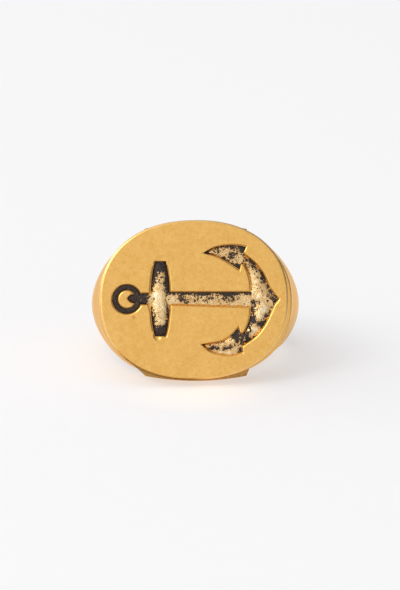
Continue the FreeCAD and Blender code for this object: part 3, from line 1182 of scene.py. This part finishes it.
@dataclass
class FacePlate:
    """The struck oval plate with the sunk anchor."""

    oval: Oval = Oval(9.05, 7.66, PLATE_MIDDLE, 2.24, math.radians(1.26))
    edge: float = 0.2
    lip: float = 0.14
    # Rim tone round the plate by angle: darker along the bottom left, rubbed paler elsewhere.
    rim_tone: tuple[tuple[float, float], ...] = (
        (-180.0, -0.35),
        (-150.0, -0.35),
        (-138.0, 0.9),
        (-92.0, 1.0),
        (-80.0, -0.2),
        (-50.0, -0.35),
        (180.0, -0.35),
    )

    def tone_at(self, spot: Vector) -> float:
        """How dark the rim is at a point, beyond the flat face.

        Args:
            spot: The point, as across, minus depth and up.

        Returns:
            0 where it is left as it is, 1 where it is darkest, along the bottom left, below 0 where it is rubbed
            bright.
        """
        across, up = spot.x - self.oval.middle[0], spot.z - self.oval.middle[1]
        reach = math.hypot(across / self.oval.half_width, up / self.oval.half_height)
        if reach < 0.9:
            return 0.0
        angle = math.degrees(math.atan2(up, across))
        for (start, one), (stop, two) in zip(self.rim_tone, self.rim_tone[1:]):
            if start <= angle <= stop:
                share = one + (two - one) * (angle - start) / (stop - start)
                return share * smooth_step(FACE_DEPTH + spot.y, 0.0, 0.05)
        return 0.0

    def build(self, anchor: Anchor) -> bmesh.types.BMesh:
        """Model the plate.

        Args:
            anchor: What is sunk into it.

        Returns:
            The mesh.
        """
        bm = oval_block(self.oval, PLATE_BACK, FACE_DEPTH)
        round_edges(bm, rim_edges(bm, FACE_DEPTH), self.edge)
        round_edges(bm, rim_edges(bm, PLATE_BACK), 0.05, 2)
        bm = carve(bm, anchor.tools())
        bmesh.ops.remove_doubles(bm, verts=bm.verts[:], dist=0.004)
        lips = [
            edge
            for edge in rim_edges(bm, FACE_DEPTH)
            if any(abs(face.normal.y) < 0.1 for face in edge.link_faces)
        ]
        round_edges(bm, lips, self.lip, 3)
        wide = [face for face in bm.faces if len(face.verts) > 4]
        bmesh.ops.triangulate(bm, faces=wide, ngon_method="EAR_CLIP")
        for edge in bm.edges:
            flat = [abs(face.normal.y) > 0.9999 for face in edge.link_faces]
            edge.smooth = all(flat) or not any(flat)
        layer = bm.verts.layers.float.new(TARNISH_AND_PAINTED_SHADE)
        for vert in bm.verts:
            vert[layer] = self.tone_at(vert.co)
        return bm

    def dress(self, bench: Bench, anchor: Anchor, gilt: bpy.types.Material) -> None:
        """Make the piece.

        Args:
            bench: Where pieces are finished.
            anchor: What is sunk into it.
            gilt: The plate's finish.
        """
        bench.finish(self.build(anchor), "struck_plate", gilt, ["face_plate"])


@dataclass
class Collar:
    """The collar behind the plate and the two dark seams beside it."""

    oval: Oval = Oval(9.3, 7.4)
    rounding: float = 0.14
    seam_inset: float = 0.22
    # How dark the side wall is painted: groove shade with some dirt.
    darkening: float = 0.3

    def dress(self, bench: Bench, gilt: bpy.types.Material, solder: bpy.types.Material) -> None:
        """Make the collar and its seams.

        Args:
            bench: Where pieces are finished.
            gilt: The collar's finish.
            solder: The seams' finish.
        """
        bm = oval_block(self.oval, COLLAR_BACK, COLLAR_FRONT)
        round_edges(bm, rim_edges(bm, COLLAR_FRONT) + rim_edges(bm, COLLAR_BACK), self.rounding)
        layer = bm.verts.layers.float.new(TARNISH_AND_PAINTED_SHADE)
        # Painted shade: the side wall darkens behind the front, standing for shade in the groove between plate and
        # head, with some dirt in the joint.
        for vert in bm.verts:
            vert[layer] = self.darkening * smooth_step(COLLAR_FRONT + vert.co.y, 0.03, 0.13)
        bench.finish(bm, "collar_rim", gilt, ["collar"])
        plate_seam = Oval(9.05 - self.seam_inset, 7.57 - self.seam_inset, PLATE_MIDDLE)
        head_seam = Oval(9.3 - self.seam_inset, 7.4 - self.seam_inset)
        for name, oval, back, front, node in (
            ("plate_seam", plate_seam, COLLAR_FRONT - 0.01, PLATE_BACK + 0.01, "plate_solder"),
            ("collar_seam", head_seam, HEAD_FRONT - 0.01, COLLAR_BACK + 0.01, "collar_solder"),
        ):
            bm = oval_block(oval, back, front, 192)
            bench.finish(bm, name, solder, [node])


@dataclass(frozen=True)
class Section:
    """A slice through the head at one depth, with domed sides."""

    depth: float
    half_width: float
    half_height: float
    dome: float


@dataclass
class Head:
    """The cast head with its full shoulders and its flat foot above and below."""

    sections: tuple[Section, ...] = (
        Section(9.73, 9.3, 7.4, 7.1),
        Section(7.3, 9.55, 7.1, 7.4),
        Section(4.9, 9.9, 6.1, 6.9),
        Section(2.4, 10.12, 4.75, 6.2),
        Section(0.0, 10.25, 3.7, 5.5),
    )
    rings: int = 44
    segments: int = 224
    side_share: float = 0.66
    foot_left: float = -4.8
    foot_right: float = 4.95
    foot_left_root: float = -5.9
    foot_right_root: float = 5.35
    foot_end: float = 6.1
    foot_lean: float = 0.04
    foot_half_height: float = 7.6
    foot_crown: float = 25.0
    foot_depth: float = 8.8
    foot_root_depth: float = 5.4
    foot_root_half_height: float = 6.2
    bore_edge: float = 0.08
    mouth_merge: float = 0.08
    worn_corner: float = 0.03
    # How dark the head is painted at its front edge (groove shade with dirt) and on its foot (shade under the ring,
    # with patina).
    seam_shade_and_dirt: float = 0.5
    foot_shade_and_patina: float = 0.55

    def slice_at(self, depth: float) -> Section:
        """The section at any depth, smoothly between the stated ones."""
        last = len(self.sections) - 1
        index = next(i for i in range(last) if depth >= self.sections[i + 1].depth - 1e-9)
        picks = [self.sections[min(last, max(0, index + k))] for k in (-1, 0, 1, 2)]
        span = picks[1].depth - picks[2].depth
        t = (picks[1].depth - depth) / span
        values = []
        for key in ("half_width", "half_height", "dome"):
            a, b, c, d = (getattr(pick, key) for pick in picks)
            gap_before = max(picks[0].depth - picks[1].depth, span)
            gap_after = max(picks[2].depth - picks[3].depth, span)
            slope_b = (c - a) / (gap_before + span) * span if index else (c - b)
            slope_c = (d - b) / (gap_after + span) * span if index + 2 <= last else (c - b)
            values.append(
                (2 * t**3 - 3 * t**2 + 1) * b
                + (t**3 - 2 * t**2 + t) * slope_b
                + (3 * t**2 - 2 * t**3) * c
                + (t**3 - t**2) * slope_c
            )
        return Section(depth, *values)

    def domed(self, section: Section, angle: float) -> Vector:
        """A point of a domed section.

        Args:
            section: The section.
            angle: Round it, from the right.

        Returns:
            The point as x and z.
        """
        quarter = math.pi / 2.0
        right, above = math.cos(angle) >= 0.0, math.sin(angle) >= 0.0
        share = math.asin(min(1.0, abs(math.sin(angle)))) / quarter
        height = min(section.half_height, section.dome * 0.999)
        top = math.asin(height / section.dome)
        centre = section.half_width - section.dome
        if share <= self.side_share:
            turn = top * share / self.side_share
            x, z = centre + section.dome * math.cos(turn), section.dome * math.sin(turn)
        else:
            edge = centre + section.dome * math.cos(top)
            x, z = edge * (1.0 - share) / (1.0 - self.side_share), height
        return Vector((x if right else -x, z if above else -z))

    def shell(self) -> bmesh.types.BMesh:
        """The head's outside, closed before and behind."""
        bm = bmesh.new()
        bmesh.ops.create_circle(bm, cap_ends=False, segments=self.segments, radius=1.0)
        turn = bm.verts.layers.float.new("turn")
        for vert in bm.verts:
            vert[turn] = math.atan2(vert.co.y, vert.co.x)
        front = Oval(self.sections[0].half_width, self.sections[0].half_height)
        ring = list(bm.edges)
        first = list(ring)
        for step in range(self.rings + 1):
            depth = HEAD_FRONT * (1.0 - step / self.rings)
            section = self.slice_at(depth)
            blend = 1.0 - smooth_step(depth, 5.4, HEAD_FRONT)
            for vert in {vert for edge in ring for vert in edge.verts}:
                spot = front.at(vert[turn]) * (section.half_height / front.half_height)
                spot.x = front.at(vert[turn]).x * section.half_width / front.half_width
                spot = spot.lerp(self.domed(section, vert[turn]), blend)
                if -math.pi / 2.0 < vert[turn] < 0.0:
                    worn = self.worn_corner * smooth_step(depth, 0.5, 5.0)
                    spot *= 1.0 - worn * math.sin(2.0 * vert[turn]) ** 2
                vert.co = (spot.x, -depth, spot.y)
            if step < self.rings:
                made = bmesh.ops.extrude_edge_only(bm, edges=ring)["geom"]
                ring = [item for item in made if isinstance(item, bmesh.types.BMEdge)]
                ring = [edge for edge in ring if len(edge.link_faces) == 1]
        bmesh.ops.contextual_create(bm, geom=first)
        bmesh.ops.contextual_create(bm, geom=ring)
        bmesh.ops.recalc_face_normals(bm, faces=bm.faces[:])
        return bm

    def foot_outline(self) -> list[Vector]:
        """The foot's outline at its front: crowned flats with sloping ends.

        Returns:
            Points round it, as x and z.
        """
        steps = 24
        flat = []
        for step in range(steps + 1):
            x = self.foot_left + (self.foot_right - self.foot_left) * step / steps
            crown = self.foot_crown - math.sqrt(self.foot_crown**2 - x * x)
            flat.append(Vector((x, self.foot_half_height - self.foot_lean - crown)))
        left = Vector((self.foot_left_root, self.foot_end))
        right = Vector((self.foot_right_root, self.foot_end))
        upper = [left, *flat, right]
        return upper + [Vector((spot.x, -spot.y)) for spot in reversed(upper)]

    def foot(self) -> bmesh.types.BMesh:
        """The block whose flats stand out above and below the shoulders."""
        bm = bmesh.new()
        start = HEAD_FRONT - 0.01
        corners = [bm.verts.new((spot.x, -start, spot.y)) for spot in self.foot_outline()]
        layer = [bm.faces.new(corners)]
        depth = start
        for next_depth, rise in (
            (self.foot_depth, self.foot_lean),
            (self.foot_root_depth, self.foot_root_half_height - self.foot_half_height),
        ):
            made = bmesh.ops.extrude_face_region(bm, geom=layer)["geom"]
            if depth < start:
                bmesh.ops.delete(bm, geom=layer, context="FACES_ONLY")
            layer = [item for item in made if isinstance(item, bmesh.types.BMFace)]
            verts = [item for item in made if isinstance(item, bmesh.types.BMVert)]
            bmesh.ops.translate(bm, verts=verts, vec=(0.0, depth - next_depth, 0.0))
            for vert in verts:
                if abs(vert.co.z) > self.foot_end + 0.001:
                    vert.co.z += rise if vert.co.z > 0.0 else -rise
            depth = next_depth
        bmesh.ops.recalc_face_normals(bm, faces=bm.faces[:])
        front = [
            e
            for e in bm.edges
            if all(v.co.y < -self.foot_depth - 0.1 and abs(v.co.z) > self.foot_end for v in e.verts)
        ]
        round_edges(bm, front, 0.1, 3)
        return bm

    def tone_at(self, spot: Vector) -> float:
        """How dark the head is painted at a point: round its front edge, painted groove shade with some dirt in the
        joint, and on its foot, painted shade under the ring with some patina.

        Args:
            spot: The point, as across, minus depth and up.

        Returns:
            0 where it is left as it is and 1 where it is darkest.
        """
        depth = -spot.y
        # Painted shade in the groove at the head's front edge, with some dirt in the joint.
        seam = self.seam_shade_and_dirt * smooth_step(depth, 9.4, 9.68)
        # Painted shade on the foot under the ring, heavier to the right away from the light, with some patina.
        foot = smooth_step(abs(spot.z), 6.3, 6.8) * smooth_step(depth, 8.3, 8.8)
        foot *= self.foot_shade_and_patina * (0.55 + 0.45 * smooth_step(spot.x, 1.0, 4.5))
        return max(seam, foot)

    def bore(self) -> bmesh.types.BMesh:
        """The tool for the finger hole."""
        bm = bmesh.new()
        bmesh.ops.create_cone(
            bm,
            cap_ends=True,
            segments=240,
            radius1=BORE_RADIUS,
            radius2=BORE_RADIUS,
            depth=30.0,
        )
        return bm

    def mouth_edges(self, bm: bmesh.types.BMesh) -> list[bmesh.types.BMEdge]:
        """The sharp edges where the finger hole comes out of the head."""
        return [
            edge
            for edge in bm.edges
            if len(edge.link_faces) == 2
            and edge.calc_face_angle() > 0.6
            and all(abs(v.co.xy.length - BORE_RADIUS) < 0.01 for v in edge.verts)
            and min(abs(v.co.y) for v in edge.verts) > 0.02
        ]

    def build(self) -> bmesh.types.BMesh:
        """Model the head.

        Returns:
            The mesh.
        """
        bm = carve(self.shell(), [self.foot()], "UNION")
        bm = carve(bm, [self.bore()])
        bmesh.ops.remove_doubles(bm, verts=bm.verts[:], dist=0.01)
        bmesh.ops.dissolve_degenerate(bm, dist=0.004, edges=bm.edges[:])
        crowded = {vert for edge in self.mouth_edges(bm) for vert in edge.verts}
        bmesh.ops.remove_doubles(bm, verts=list(crowded), dist=self.mouth_merge)
        round_edges(bm, self.mouth_edges(bm), self.bore_edge, 2)
        layer = bm.verts.layers.float.new(TARNISH_AND_PAINTED_SHADE)
        for vert in bm.verts:
            vert[layer] = self.tone_at(vert.co)
        return bm

    def dress(self, bench: Bench, gilt: bpy.types.Material) -> None:
        """Make the piece.

        Args:
            bench: Where pieces are finished.
            gilt: The head's finish.
        """
        bench.finish(self.build(), "signet_head", gilt, ["head"], 40.0)


@dataclass
class Band:
    """The half-round shank behind the finger, and the solder at its two ends."""

    half_width: float = 10.25
    dome: float = 5.5
    half_height: float = 3.7
    rear_half_height: float = 2.0
    joint: float = 0.1
    rear: float = 9.873
    across_steps: int = 14
    edge_steps: int = 3
    edge: float = 0.14

    def half_height_at(self, back: float) -> float:
        """Half the band's width at a distance behind the hole's axis."""
        share = min(1.0, max(0.0, back / self.rear))
        return self.half_height + (self.rear_half_height - self.half_height) * share

    def outer(self, up: float) -> float:
        """How far the domed outside is from the hole's axis at a height."""
        return self.half_width - self.dome + math.sqrt(self.dome**2 - up * up)

    def section(self) -> list[Point]:
        """The band's section as distance from the axis, 0 inside to 1 outside, and height, -1 to 1.

        Returns:
            Points round it.
        """
        steps = self.across_steps
        inside = [(0.0, -1.0 + 2.0 * k / 6.0) for k in range(7)]
        outside = [(1.0, 1.0 - 2.0 * k / steps) for k in range(steps + 1)]
        return inside + outside

    def sweep(self, start: float, stop: float, steps: int) -> bmesh.types.BMesh:
        """Spin the section through part of the ring.

        Args:
            start: Where it starts, as an angle from the right.
            stop: Where it stops.
            steps: Steps on the way.

        Returns:
            The closed mesh.
        """
        bm = bmesh.new()
        share = bm.verts.layers.float.new("share")
        height = bm.verts.layers.float.new("height")
        verts = []
        for out, up in self.section():
            vert = bm.verts.new((BORE_RADIUS + out, 0.0, up))
            vert[share], vert[height] = out, up
            verts.append(vert)
        face = bm.faces.new(verts)
        bmesh.ops.rotate(bm, verts=verts, cent=(0.0, 0.0, 0.0), matrix=Matrix.Rotation(start, 3, "Z"))
        bmesh.ops.spin(
            bm,
            geom=[face],
            cent=(0.0, 0.0, 0.0),
            axis=(0.0, 0.0, 1.0),
            angle=stop - start,
            steps=steps,
            use_merge=False,
            use_duplicate=False,
        )
        for vert in bm.verts:
            angle = math.atan2(vert.co.y, vert.co.x)
            edge_height = self.half_height_at(max(0.0, self.rear * math.sin(angle)))
            up = vert[height] * edge_height
            radius = self.outer(up) if vert[share] > 0.5 else BORE_RADIUS
            vert.co = (radius * math.cos(angle), radius * math.sin(angle), up)
        bmesh.ops.recalc_face_normals(bm, faces=bm.faces[:])
        return bm

    def dress(self, bench: Bench, gilt: bpy.types.Material, solder: bpy.types.Material) -> None:
        """Make the band and its joints.

        Args:
            bench: Where pieces are finished.
            gilt: The band's finish.
            solder: The joints' finish.
        """
        first = math.asin(self.joint / BORE_RADIUS)
        bm = self.sweep(first, math.pi - first, 120)
        long_edges = [
            e
            for e in bm.edges
            if len(e.link_faces) == 2
            and e.calc_face_angle() > 0.5
            and abs(abs(e.verts[0].co.z) - abs(e.verts[1].co.z)) < 0.1
            and (e.verts[0].co - e.verts[1].co).xy.length > 0.05
            and abs(e.verts[0].co.xy.length - e.verts[1].co.xy.length) < 0.05
        ]
        round_edges(bm, long_edges, self.edge, 3)
        bench.finish(bm, "band", gilt, ["shank"], 40.0)
        for name, start, stop, node in (
            ("left_joint", math.pi - first, math.pi, "left_shank_solder"),
            ("right_joint", 0.0, first, "right_shank_solder"),
        ):
            bench.finish(self.sweep(start, stop, 2), name, solder, [node], 40.0)


# ------------------------------------------------------------------ studio


@dataclass
class Studio:
    """The pale table, the soft light and the camera."""

    ring: RingFrame
    elevation: float = 15.7
    distance_mm: float = 350.0
    frame_height_mm: float = 56.64
    aim: Point = (0.554, 0.463)
    floor_size: float = 4.0
    # Colour and reach of the painted warm glow on the floor round the contact.
    painted_bounce_glow: Colour = (1.25, 1.11, 1.0)
    painted_bounce_reach: tuple[float, float] = (0.5, 9.0)
    glow: float = 0.735
    glow_lean: tuple[float, float, float] = (-0.6, -0.2, 0.1)

    def floor(self) -> None:
        """A pale table top, with a painted warm glow round the contact in place of light thrown from the gold."""
        bm = bmesh.new()
        bmesh.ops.create_grid(bm, x_segments=8, y_segments=8, size=self.floor_size / 2.0)
        table = piece_from(bm, "table")
        shader = Shader("pale_paper", self.ring)
        fibre = shader.noise(0.6, 4.0, 0.6)
        colour = shader.colour_mix(fibre, (0.455, 0.455, 0.465), (0.475, 0.475, 0.485))
        # Painted light: the emission turns warm near the ring's contact, a glow standing in for light thrown from
        # the gold.
        contact = {0: shader.space, 1: (0.0, -FACE_DEPTH, PLATE_MIDDLE[1] - 8.0)}
        away = shader.node("ShaderNodeVectorMath", {"operation": "DISTANCE"}, contact, "Value")
        near = 1.0 - away.step(*self.painted_bounce_reach)
        material = shader.surface(
            Base_Color=colour,
            Roughness=0.9,
            Specular_IOR_Level=0.1,
            Emission_Color=shader.colour_mix(near, (0.93, 0.93, 0.945), self.painted_bounce_glow),
            Emission_Strength=0.525,
        )
        table.data.materials.append(material)

    def light(self, name: str, place: Sequence[float], size: float, power: float, tint: Colour) -> None:
        """A soft square light that looks at the ring.

        Args:
            name: Its name.
            place: Where it hangs, in metres.
            size: Its side, in metres.
            power: Its power in watts.
            tint: Its colour.
        """
        lamp = bpy.data.lights.new(name, "AREA")
        lamp.shape, lamp.size, lamp.energy, lamp.color = "SQUARE", size, power, tint
        stand = bpy.data.objects.new(name, lamp)
        stand.location = place
        aim = self.ring.point(0.0, FACE_DEPTH, 0.0) - Vector(place)
        stand.rotation_mode = "QUATERNION"
        stand.rotation_quaternion = aim.to_track_quat("-Z", "Y")
        bpy.context.scene.collection.objects.link(stand)

    def surroundings(self) -> None:
        """An even white room, brighter to the left and above."""
        world = bpy.data.worlds.new("room")
        world.use_nodes = True
        bpy.context.scene.world = world
        tree = world.node_tree
        tree.nodes.clear()
        where = tree.nodes.new("ShaderNodeTexCoord")
        lean = tree.nodes.new("ShaderNodeVectorMath")
        lean.operation = "DOT_PRODUCT"
        lean.inputs[1].default_value = self.glow_lean
        tree.links.new(where.outputs["Generated"], lean.inputs[0])
        side = tree.nodes.new("ShaderNodeMath")
        side.operation = "ADD"
        side.inputs[1].default_value = self.glow
        tree.links.new(lean.outputs["Value"], side.inputs[0])
        glow = tree.nodes.new("ShaderNodeBackground")
        glow.inputs["Color"].default_value = (1.0, 0.99, 0.98, 1.0)
        tree.links.new(side.outputs["Value"], glow.inputs["Strength"])
        end = tree.nodes.new("ShaderNodeOutputWorld")
        tree.links.new(glow.outputs["Background"], end.inputs["Surface"])

    def camera(self) -> None:
        """A long lens that looks almost straight at the face."""
        lens = bpy.data.cameras.new("long_lens")
        lens.sensor_width = 36.0
        lens.lens = lens.sensor_width * self.distance_mm / self.frame_height_mm
        lens.clip_start, lens.clip_end = 0.01, 20.0
        stand = bpy.data.objects.new("camera", lens)
        rise = math.radians(self.elevation)
        back = Vector((0.0, -math.cos(rise), math.sin(rise)))
        up = Vector((0.0, math.sin(rise), math.cos(rise)))
        target = self.ring.point(PLATE_MIDDLE[0], FACE_DEPTH, PLATE_MIDDLE[1])
        target += (Vector((self.aim[0], 0.0, 0.0)) + up * self.aim[1]) * MILLIMETRE
        stand.location = target + back * self.distance_mm * MILLIMETRE
        stand.rotation_mode = "QUATERNION"
        stand.rotation_quaternion = (-back).to_track_quat("-Z", "Y")
        bpy.context.scene.collection.objects.link(stand)
        bpy.context.scene.camera = stand

    def set_up(self) -> None:
        """Put everything in place."""
        self.floor()
        self.surroundings()
        self.light("key", (-0.30, -0.30, 0.34), 0.20, 0.6, (1.0, 0.97, 0.93))
        self.light("side", (-0.42, 0.22, 0.16), 0.26, 0.35, (1.0, 0.98, 0.95))
        self.camera()
        view = bpy.context.scene.view_settings
        view.view_transform = "Standard"
        view.look = "None"


def main() -> None:
    """Build the ring, then its studio."""
    logging.basicConfig(level=logging.INFO, format="%(name)s: %(message)s")
    ring = RingFrame.from_record(frame["record"])
    bench = Bench(ring)
    plate_gilt = Gilt("plate_gilt").make(ring)
    body_gilt = Gilt("body_gilt", roughness=0.22, scratch=0.5).make(ring)
    solder = Seam("solder").make(ring)
    black = WornBlack("worn_black").make(ring)
    anchor = Anchor()
    FacePlate().dress(bench, anchor, plate_gilt)
    Collar().dress(bench, body_gilt, solder)
    Head().dress(bench, body_gilt)
    Band().dress(bench, body_gilt, solder)
    anchor.dress(bench, black)
    Studio(ring).set_up()


if __name__ == "__main__":
    main()
